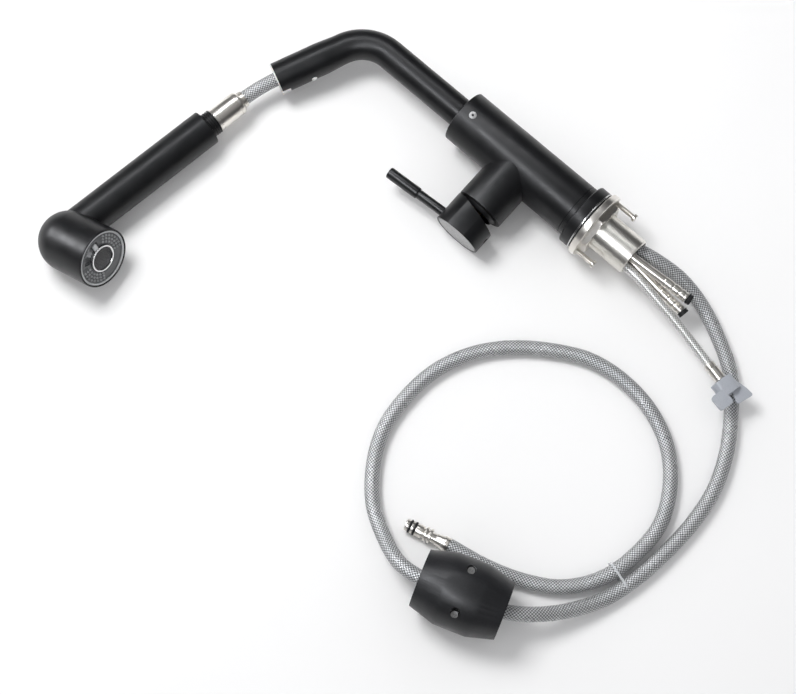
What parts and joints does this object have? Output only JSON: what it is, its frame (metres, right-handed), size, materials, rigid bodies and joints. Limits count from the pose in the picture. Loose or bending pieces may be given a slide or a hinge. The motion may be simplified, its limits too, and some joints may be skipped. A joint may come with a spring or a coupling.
{
  "type": "pull-out kitchen mixer tap",
  "caption": "Single-lever pull-out kitchen mixer tap with an angled tubular spout, a hammer-shaped spray on a braided hose, a hose weight and quick couplings.",
  "frame": {"origin": "centre of the body's foot, in the plane of the deck; the tap lies on a table 29 mm below this point", "axes": "+X up the body, away from the deck; +Y to the side of the handle; +Z away from the table"},
  "size_m": [0.5427, 0.3514, 0.0612],
  "materials": {
    "matte_black": "matte powder coat",
    "spray_black": "matte",
    "soft_black": "satin",
    "weight_grey": "matte paint",
    "satin_grey": "satin",
    "face_grey": "satin",
    "nickel": "polished nickel",
    "steel": "bright",
    "brass": "turned",
    "rubber": "matte",
    "jet_grey": "matte",
    "nylon": "satin",
    "braid_grey": "nylon braid",
    "steel_braid": "wire braid",
    "clip_grey": "satin",
    "clear": "clear"
  },
  "bodies": {
    "tap_body": {"body_shell": "matte_black", "base_ring": "matte_black", "base_seal": "rubber", "spout_grub_screw": "satin_grey", "shank": "nickel", "water_block": "brass", "hot_inlet_tube": "nickel", "cold_inlet_tube": "nickel", "inlet_seals": "rubber", "cartridge_body": "nylon", "cartridge_seals": "rubber", "cartridge_nut": "brass", "dome_trim": "soft_black", "hose_in_body": "braid_grey", "spray_hose": "braid_grey", "weight_upper_half": "weight_grey", "weight_lower_half": "weight_grey", "weight_screws": "steel", "hose_tie": "clear", "plug_ferrule": "nickel", "quick_plug": "nickel", "plug_o_rings": "rubber", "outlet_hose": "steel_braid", "outlet_ferrule": "nickel", "quick_connector": "nickel"},
    "fixing_nut": {"steel_washer": "steel", "rubber_washer": "rubber", "mounting_nut": "nickel", "clamp_screws": "nickel"},
    "clip": {"connector_clip": "clip_grey"},
    "handle_turner": {"cartridge_turner": "nylon"},
    "handle": {"cartridge_stem": "brass", "handle_cap": "matte_black", "handle_end_plate": "satin_grey", "handle_grub_screw": "satin_grey", "lever_rod": "soft_black", "lever_grip": "soft_black"},
    "spout": {"spout_tube": "matte_black", "swivel_sleeve": "brass", "glide_rings": "nylon", "spout_bush": "nylon", "hose_in_spout": "braid_grey"},
    "hose_end": {"flexing_hose": "braid_grey", "hose_crimp": "nickel", "hose_nut": "nickel"},
    "handset": {"spray_shell": "spray_black", "spray_collar": "soft_black", "check_valve": "nylon", "water_tube": "nylon", "diverter": "soft_black", "face_ring": "face_grey", "face_plate": "soft_black", "spray_nozzles": "jet_grey"},
    "mode_ring": {"aerator_ring": "steel", "mode_tab": "face_grey", "aerator_mesh": "soft_black"}
  },
  "joints": [
    {"name": "spout_swivel", "type": "hinge", "parent": "tap_body", "child": "spout", "pos_m": [0, 0, 0], "axis": [1, 0, 0], "range_deg": [0, 180]},
    {"name": "spray_dock", "type": "hinge", "parent": "spout", "child": "hose_end", "pos_m": [0.07454, 0.14982, 0.07099], "axis": [-0.353, 0.0553, -0.934], "range_deg": [0, 17.63], "deforming": ["flexing_hose"]},
    {"name": "spray_turn", "type": "hinge", "parent": "hose_end", "child": "handset", "pos_m": [0.2846, 0.1447, -0.0087], "axis": [0.1253, 0.9921, 0.0113], "continuous": true},
    {"name": "mode_turn", "type": "hinge", "parent": "handset", "child": "mode_ring", "pos_m": [0.26109, 0.28357, 0.00929], "axis": [-0.9193, -0.1658, 0.3569], "range_deg": [0, 50]},
    {"name": "handle_temperature", "type": "hinge", "parent": "tap_body", "child": "handle_turner", "pos_m": [0.072, 0.04176, -0.00446], "axis": [0, 0.9943, -0.1063], "range_deg": [-45, 45]},
    {"name": "handle_flow", "type": "hinge", "parent": "handle_turner", "child": "handle", "pos_m": [0.072, 0.04176, -0.00446], "axis": [0, 0.1063, 0.9943], "range_deg": [0, 25]},
    {"name": "nut_travel", "type": "slide", "parent": "tap_body", "child": "fixing_nut", "axis": [-1, 0, 0], "range_m": [0, 0.028]},
    {"name": "clip_release", "type": "slide", "parent": "tap_body", "child": "clip", "axis": [-0.2079, -0.9781, 0], "range_m": [0, 0.002], "stiffness_N_per_m": 600}
  ]
}
